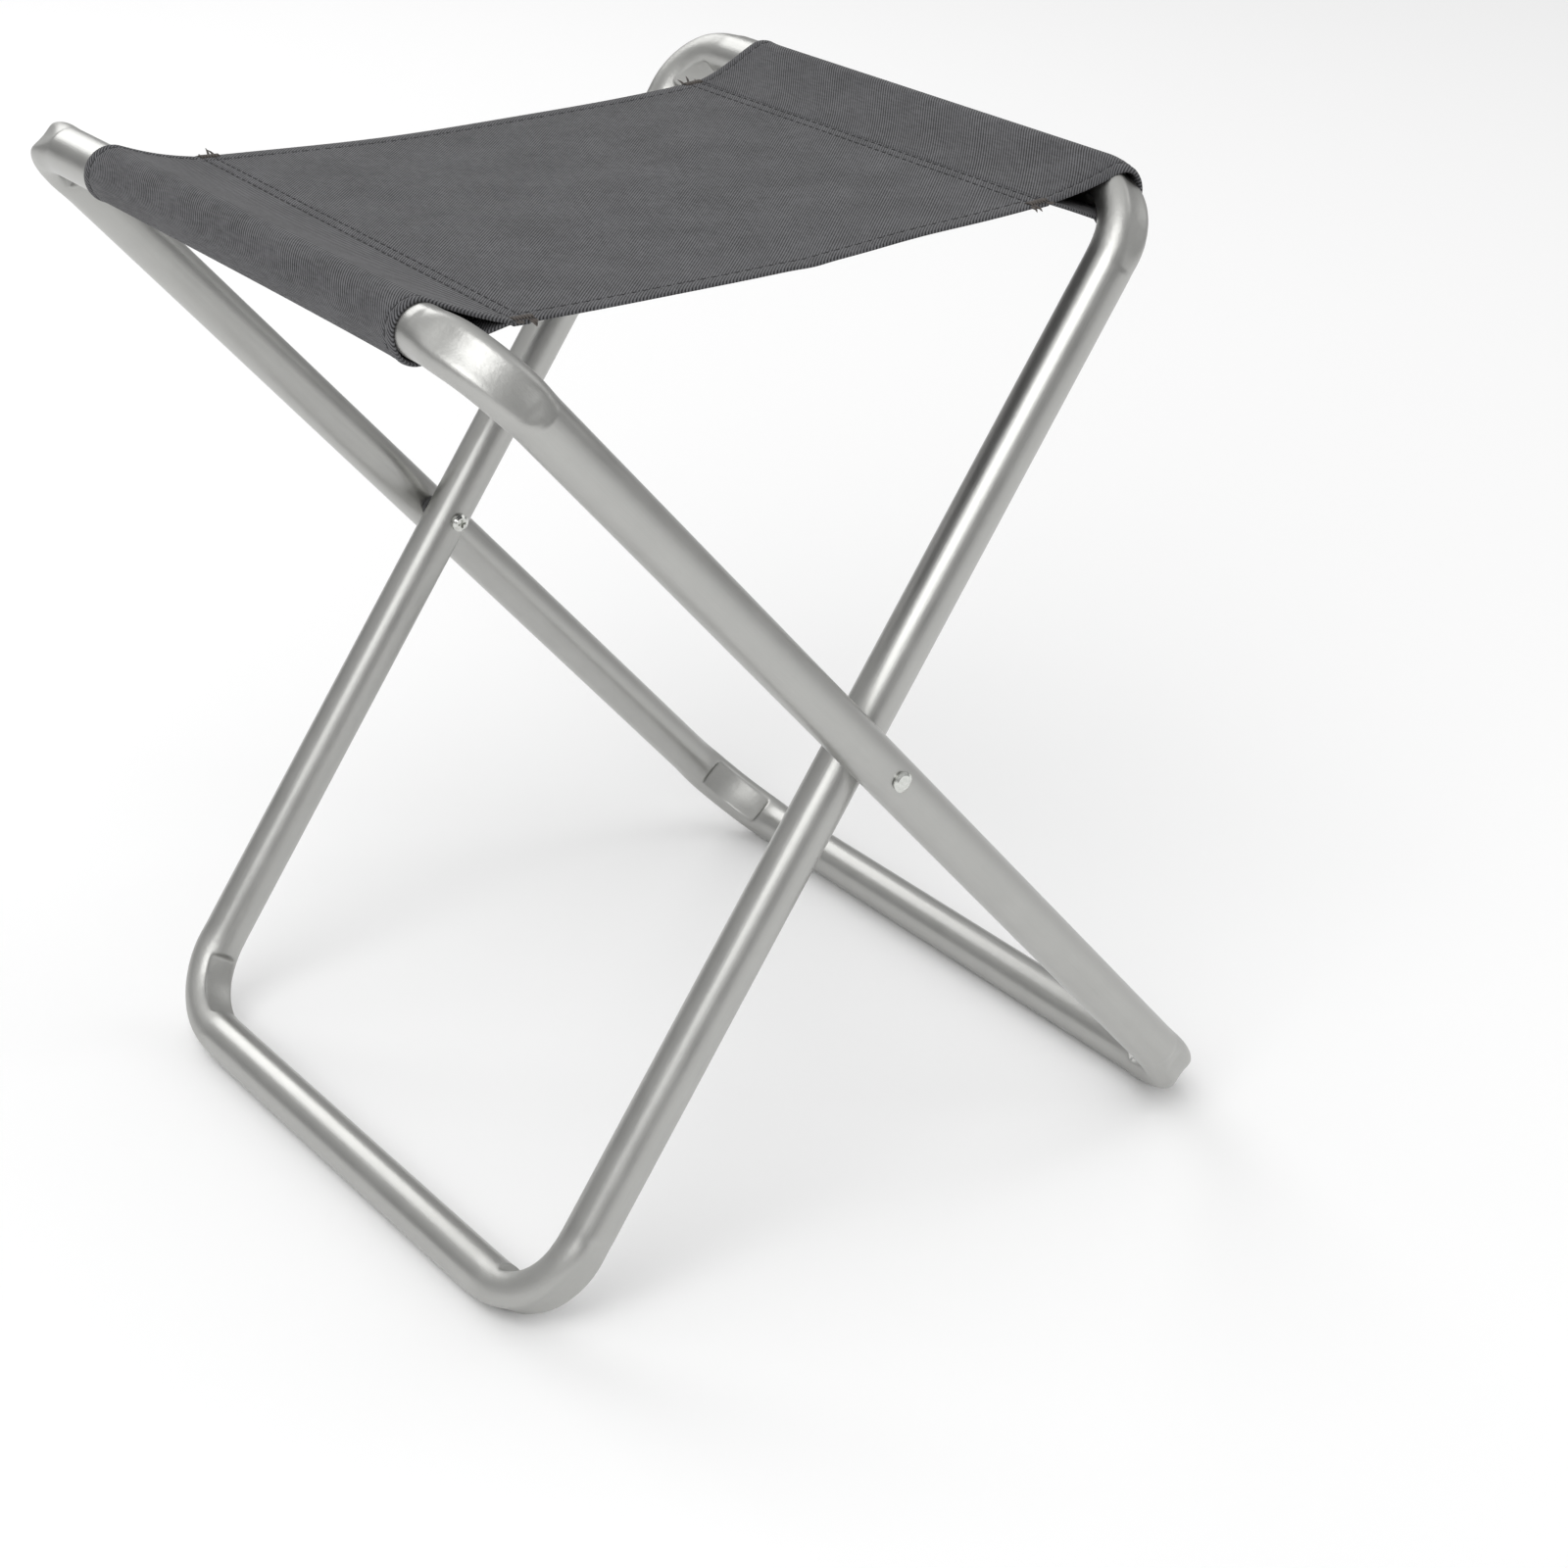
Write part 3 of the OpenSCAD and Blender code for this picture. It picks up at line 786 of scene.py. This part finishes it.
# %% Rows of stitches
def strands(name, centres, along_row, square, length, thick, rise):
    """One mesh of many strands. Each is a ring of 6 points carried along 5 stations.

    A strand's point is centre + row * x + side * y + square * z. The ring swells as the root of
    a cosine along the strand, and rise lifts its middle by a cosine.
    """
    stations = np.linspace(-1, 1, 5)
    swell = np.cos(stations * math.pi / 2) ** 0.5
    swell[[0, -1]] = 0.18
    turn = np.arange(6) * math.pi / 3
    x = np.repeat(stations * length / 2, 6)
    y = (swell[:, None] * np.cos(turn) * thick / 2).ravel()
    z = (swell[:, None] * np.sin(turn) * thick / 2
         + rise * (np.cos(stations * math.pi / 2) - 0.5)[:, None]).ravel()
    row = along_row / np.linalg.norm(along_row, axis=-1, keepdims=True)
    side = np.cross(square, row)
    side /= np.linalg.norm(side, axis=-1, keepdims=True)
    points = (centres[:, None] + row[:, None] * x[:, None] + side[:, None] * y[:, None]
              + square[:, None] * z[:, None])
    ring = np.arange(6)
    tube = np.concatenate([np.stack([k * 6 + ring, k * 6 + (ring + 1) % 6,
                                     (k + 1) * 6 + (ring + 1) % 6, (k + 1) * 6 + ring], 1)
                           for k in range(4)])
    count = len(centres)
    shift = (np.arange(count) * 30)[:, None, None]
    quads = (tube[None] + shift).reshape(-1, 4)
    ends = np.stack([ring[::-1], ring + 24])
    caps = (ends[None] + shift).reshape(-1, 6)
    mesh = bpy.data.meshes.new(name)
    mesh.from_pydata(points.reshape(-1, 3).tolist(), [], quads.tolist() + caps.tolist())
    mesh.polygons.foreach_set("use_smooth", np.ones(len(mesh.polygons), bool))
    piece = link(name, mesh)
    facing(piece)
    print(name, "strands:", count)
    return piece


def row_on(surface, a, b, pitch, lift):
    """Stitch centres, directions and normals along a line from a to b on surface(s, share).

    lift is how far the stitches stand off the surface, and the direction that counts as off.
    """
    fine = np.linspace(0, 1, 400)[:, None]
    ends = np.array(a) * (1 - fine) + np.array(b) * fine
    step = 1e-4

    def at(uv):
        return surface(uv[:, 0], uv[:, 1])

    points = at(ends)
    reach = along(points)
    count = max(2, int(round(reach[-1] / pitch)))
    where = (np.arange(count) + 0.5) / count * reach[-1]
    share_of = np.interp(where, reach, fine[:, 0])[:, None]
    uv = np.array(a) * (1 - share_of) + np.array(b) * share_of
    direction = at(uv + (np.array(b) - np.array(a)) * step) - at(uv)
    du = at(uv + [1e-5, 0]) - at(uv)
    dv = at(uv + [0, 1e-4]) - at(uv)
    normal = np.cross(du, dv)
    normal /= np.linalg.norm(normal, axis=1, keepdims=True)
    normal *= np.sign((normal * lift[1]).sum(1, keepdims=True))
    return at(uv) + normal * lift[0], direction, normal


up = np.array([0, 0, 1.0])
thread_height = cloth / 2 - 0.12 * mm


def panel_rows(name, lines, pitch, length):
    """Joins several stitched lines on the panel into one piece."""
    made = [row_on(panel_middle, a, b, pitch, (thread_height, up)) for a, b in lines]
    centres, directions, normals = (np.concatenate(parts) for parts in zip(*made))
    return strands(name, centres, directions, normals, length, stitch_thread, stitch_arch)


inset = 4 * mm / width
hem_share = hem_row / width
left_rows = panel_rows("seam_stitches_left", [
    ((left_seam[0] + d, inset), (left_seam[0] + d, 1 - inset))
    for d in (first_row, first_row + row_gap)], seam_pitch, seam_stitch)
right_rows = panel_rows("seam_stitches_right", [
    ((right_seam[0] - d, inset), (right_seam[0] - d, 1 - inset))
    for d in (first_row, first_row + row_gap)], seam_pitch, seam_stitch)
hem_rows = panel_rows("hem_stitches", [
    ((left_seam[0] + lap, s), (right_seam[0] - lap, s)) for s in (hem_share, 1 - hem_share)],
    hem_pitch, hem_stitch)


def loop_surface(grid, line):
    """A lookup on a loop's middle grid: distance along the outline, share of the width."""
    run = along(line)

    def at(s, share):
        i = np.interp(s, run, np.arange(len(run)))
        j = np.interp(share, shares, np.arange(len(shares)))
        i0, j0 = i.astype(int).clip(0, len(run) - 2), j.astype(int).clip(0, len(shares) - 2)
        fi, fj = (i - i0)[:, None], (j - j0)[:, None]
        return ((grid[i0, j0] * (1 - fi) + grid[i0 + 1, j0] * fi) * (1 - fj)
                + (grid[i0, j0 + 1] * (1 - fi) + grid[i0 + 1, j0 + 1] * fi) * fj)
    return at


def mouth_rows(name, grid, line, rail, until):
    """The hem's row carries on round each loop, up to a distance along its outline."""
    at = loop_surface(grid, line)
    made = []
    for share in (mouth_row / width, 1 - mouth_row / width):
        centres, directions, normals = row_on(at, (2 * mm, share), (until, share), hem_pitch,
                                              (0, up))
        outward = centres - rail
        outward[:, 1] = 0
        normals = normals * np.sign((normals * outward).sum(1, keepdims=True))
        made.append((centres + normals * thread_height, directions, normals))
    centres, directions, normals = (np.concatenate(parts) for parts in zip(*made))
    return strands(name, centres, directions, normals, hem_stitch, stitch_thread, stitch_arch)


left_mouths = mouth_rows("mouth_stitches_left", on_rail(top_line, left_rail, 1), top_line,
                         left_rail, along(top_line)[-1] - 3 * mm)
right_mouths = mouth_rows("mouth_stitches_right", right_grid, whole, right_rail,
                          along(whole)[len(out) + len(arc) - 1] - 3 * mm)

# %% [markdown]
# ## Bar tacks
# The ends of each seam are locked by a bar tack: a dense zigzag over the hem. It is built
# from the same strands, laid side by side, with a few knots and a cut tail of thread.

# %% Bar tacks
def tack(name, x_from, x_to, front):
    """Strands across the hem, side by side from x_from to x_to, leaning to and fro.

    A few more strands stick out over the cloth's edge: a knot at the panel's end of a front
    tack, and loose tails at a rear one.
    """
    count = 13
    x = np.linspace(x_from, x_to, count)
    lean = np.where(np.arange(count) % 2, 0.35, -0.35) * mm
    middle = 2.4 * mm / width
    share = np.full(count, middle if front else 1 - middle)
    centres = panel_middle(x, share) + up * (cloth / 2 + 0.35 * mm)
    directions = np.stack([lean, np.full(count, 2.0 * mm), np.zeros(count)], 1)
    outward = -1 if front else 1
    inner_end = min(x_from, x_to, key=lambda x: abs(x - crease[0]))
    to_seam = np.sign(inner_end - crease[0]) * mm
    if front:
        tails = inner_end + np.array([-0.5, 0.2, 0.9, 1.6, 7.0]) * to_seam
        rises = np.array([0.1, -0.4, -0.1, -0.5, 0.2])
    else:
        tails = inner_end + np.array([0.5, 3.0, 7.0]) * to_seam
        rises = np.array([0.7, 2.0, 0.1])
    edge = panel_middle(tails, np.full(len(tails), 0.0 if front else 1.0))
    leans = np.linspace(-0.3, 0.6, len(tails))
    tail_way = np.stack([leans, np.full(len(tails), float(outward)), rises], 1)
    tail_way /= np.linalg.norm(tail_way, axis=1, keepdims=True)
    centres = np.concatenate([centres, edge + tail_way * 1.0 * mm])
    directions = np.concatenate([directions, tail_way])
    normals = np.concatenate([np.tile(up, (count, 1)), np.tile([1.0, 0, 0], (len(tails), 1))])
    return strands(name, centres, directions, normals, 4.8 * mm, 0.95 * mm, 0.7 * mm)


near, far = 0.5 * mm, 8.0 * mm
spans = {"left": (left_seam[0] + near, left_seam[0] + far),
         "right": (right_seam[0] - far, right_seam[0] - near)}
tacks = {}
for side, (x_from, x_to) in spans.items():
    for end in ("front", "rear"):
        tacks[end, side] = tack(f"tack_{end}_{side}", x_from, x_to, end == "front")

# %% [markdown]
# ## Thread
# Thread is twisted polyester. It is nearly black in the rows and brownish in the tacks, where
# it is rubbed. Noise stands for the twist, because a single strand is under a millimetre thick.

# %% The thread finish
def thread_finish(name, dark, light):
    """Twisted polyester thread: fine noise in tone and bump, with a dull gloss."""
    finish = Finish(name, Roughness=0.6)
    twist = finish.noise(finish.coordinate("Object"), 1500.0, 2.0)
    finish.feed(Base_Color=finish.mix(twist, dark, light))
    finish.bump(twist, 0.0001)
    return finish


dark_thread = thread_finish("dark_thread", (0.022, 0.022, 0.024, 1), (0.06, 0.06, 0.064, 1))
brown_thread = thread_finish("brown_thread", (0.024, 0.020, 0.018, 1), (0.11, 0.093, 0.082, 1))
for piece, body, nodes in (
        (left_rows, "seat_half_left", ["seam_thread_left"]),
        (right_rows, "seat_half_right", ["seam_thread_right"]),
        (right_mouths, "seat_loop_right", ["mouth_thread_right"])):
    put(piece, dark_thread)
    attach(piece, body)
    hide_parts(*nodes)
put(hem_rows, dark_thread)
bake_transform(hem_rows)
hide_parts("hem_thread_left", "hem_thread_right")
put(left_mouths, dark_thread)
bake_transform(left_mouths)
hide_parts("mouth_thread_left")
for (end, side), piece in tacks.items():
    put(piece, brown_thread)
    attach(piece, "seat_half_" + side)
    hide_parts(f"bar_tack_{end}_{side}")
print("tacks:", len(tacks))

# %% [markdown]
# ## Pivot hardware
# The CAD screws, sleeve nuts and spacers have the right shape, so they stay and only get
# finishes: bright, slightly cloudy zinc and dull nylon.

# %% Zinc and nylon
def bright_zinc():
    """A bright metal with fine cloudy tone, roughness and bump."""
    finish = Finish("bright_zinc", Metallic=1.0)
    spots = finish.coordinate("Object")
    cloud = finish.noise(spots, 700.0, 3.0)
    finish.feed(Base_Color=finish.mix(cloud, (0.52, 0.53, 0.50, 1), (0.80, 0.81, 0.78, 1)))
    finish.feed(Roughness=0.16 + cloud * 0.18)
    finish.bump(cloud, 0.00004)
    return finish


def dull_nylon():
    """A nearly black plastic with a fine matt skin."""
    finish = Finish("dull_nylon")
    cloud = finish.noise(finish.coordinate("Object"), 900.0, 3.0)
    finish.feed(Base_Color=finish.mix(cloud, (0.03, 0.03, 0.032, 1), (0.07, 0.07, 0.072, 1)))
    finish.feed(Roughness=0.45 + cloud * 0.2)
    finish.bump(cloud, 0.00005)
    return finish


zinc, nylon = bright_zinc(), dull_nylon()
for name, node in frame["nodes"].items():
    if name.endswith(("sleeve_nut", "pivot_screw")):
        put(node, zinc)
    elif name.endswith("pivot_spacer"):
        put(node, nylon)
    elif name.endswith("joint_spigot"):
        put(node, aluminium)
print("hardware finished")

# %% [markdown]
# ## Light and floor
# A plain pale floor, a soft sky that is bright overhead and dim near the horizon, and three
# soft lights. The dim horizon draws the dark bands along the sides of the satin tubes, and the
# large light at the upper left draws the long highlights beside them.

# %% Floor
def add_floor():
    """One square face in the plane that the stool stands on."""
    half = 14.0
    mesh = bpy.data.meshes.new("floor")
    mesh.from_pydata([(-half, -half, 0), (half, -half, 0), (half, half, 0), (-half, half, 0)],
                     [], [(0, 1, 2, 3)])
    piece = link("floor", mesh)
    finish = Finish("pale_floor", Roughness=0.9, Base_Color=(0.955, 0.955, 0.955, 1),
                    Specular_IOR_Level=0.1)
    piece.data.materials.append(finish.material)
    print("floor", 2 * half, "m wide")


add_floor()


# %% Lights
def soft_light(name, place_at, aim, size, power):
    """An area light at a place, turned so that it faces the aim."""
    light = bpy.data.lights.new(name, "AREA")
    light.shape = "RECTANGLE"
    light.size, light.size_y = size
    light.energy = power
    lamp = bpy.data.objects.new(name, light)
    bpy.context.scene.collection.objects.link(lamp)
    z = np.array(place_at, float) - np.array(aim, float)
    z /= np.linalg.norm(z)
    x = np.cross([0, 0, 1], z)
    x /= np.linalg.norm(x)
    turn = np.eye(4)
    turn[:3, 0], turn[:3, 1], turn[:3, 2], turn[:3, 3] = x, np.cross(z, x), z, place_at
    lamp.matrix_world = Matrix(turn.tolist())


def soft_sky(at_horizon, overhead):
    """White light whose strength goes with the height of its direction above the horizon."""
    world = bpy.data.worlds.new("studio")
    bpy.context.scene.world = world
    world.use_nodes = True
    tree = world.node_tree
    sky = tree.nodes["Background"]
    split = tree.nodes.new("ShaderNodeSeparateXYZ")
    tree.links.new(tree.nodes.new("ShaderNodeTexCoord").outputs["Generated"], split.inputs[0])
    height = Value(tree, split.outputs[2]).maths("MAXIMUM", 0.0)
    strength = at_horizon + height * (overhead - at_horizon)
    tree.links.new(strength.socket, sky.inputs["Strength"])
    sky.inputs["Color"].default_value = (1, 1, 1, 1)


soft_sky(0.27, 0.91)
soft_light("key", (-1.6, -1.2, 2.2), (0, 0, 0.2), (2.0, 2.0), 37)
soft_light("side", (2.2, -0.6, 1.5), (0, 0, 0.2), (1.0, 1.6), 4)
soft_light("back", (0.2, 2.4, 1.8), (0, 0, 0.2), (2.0, 1.0), 16)
bpy.context.scene.view_settings.view_transform = "Standard"
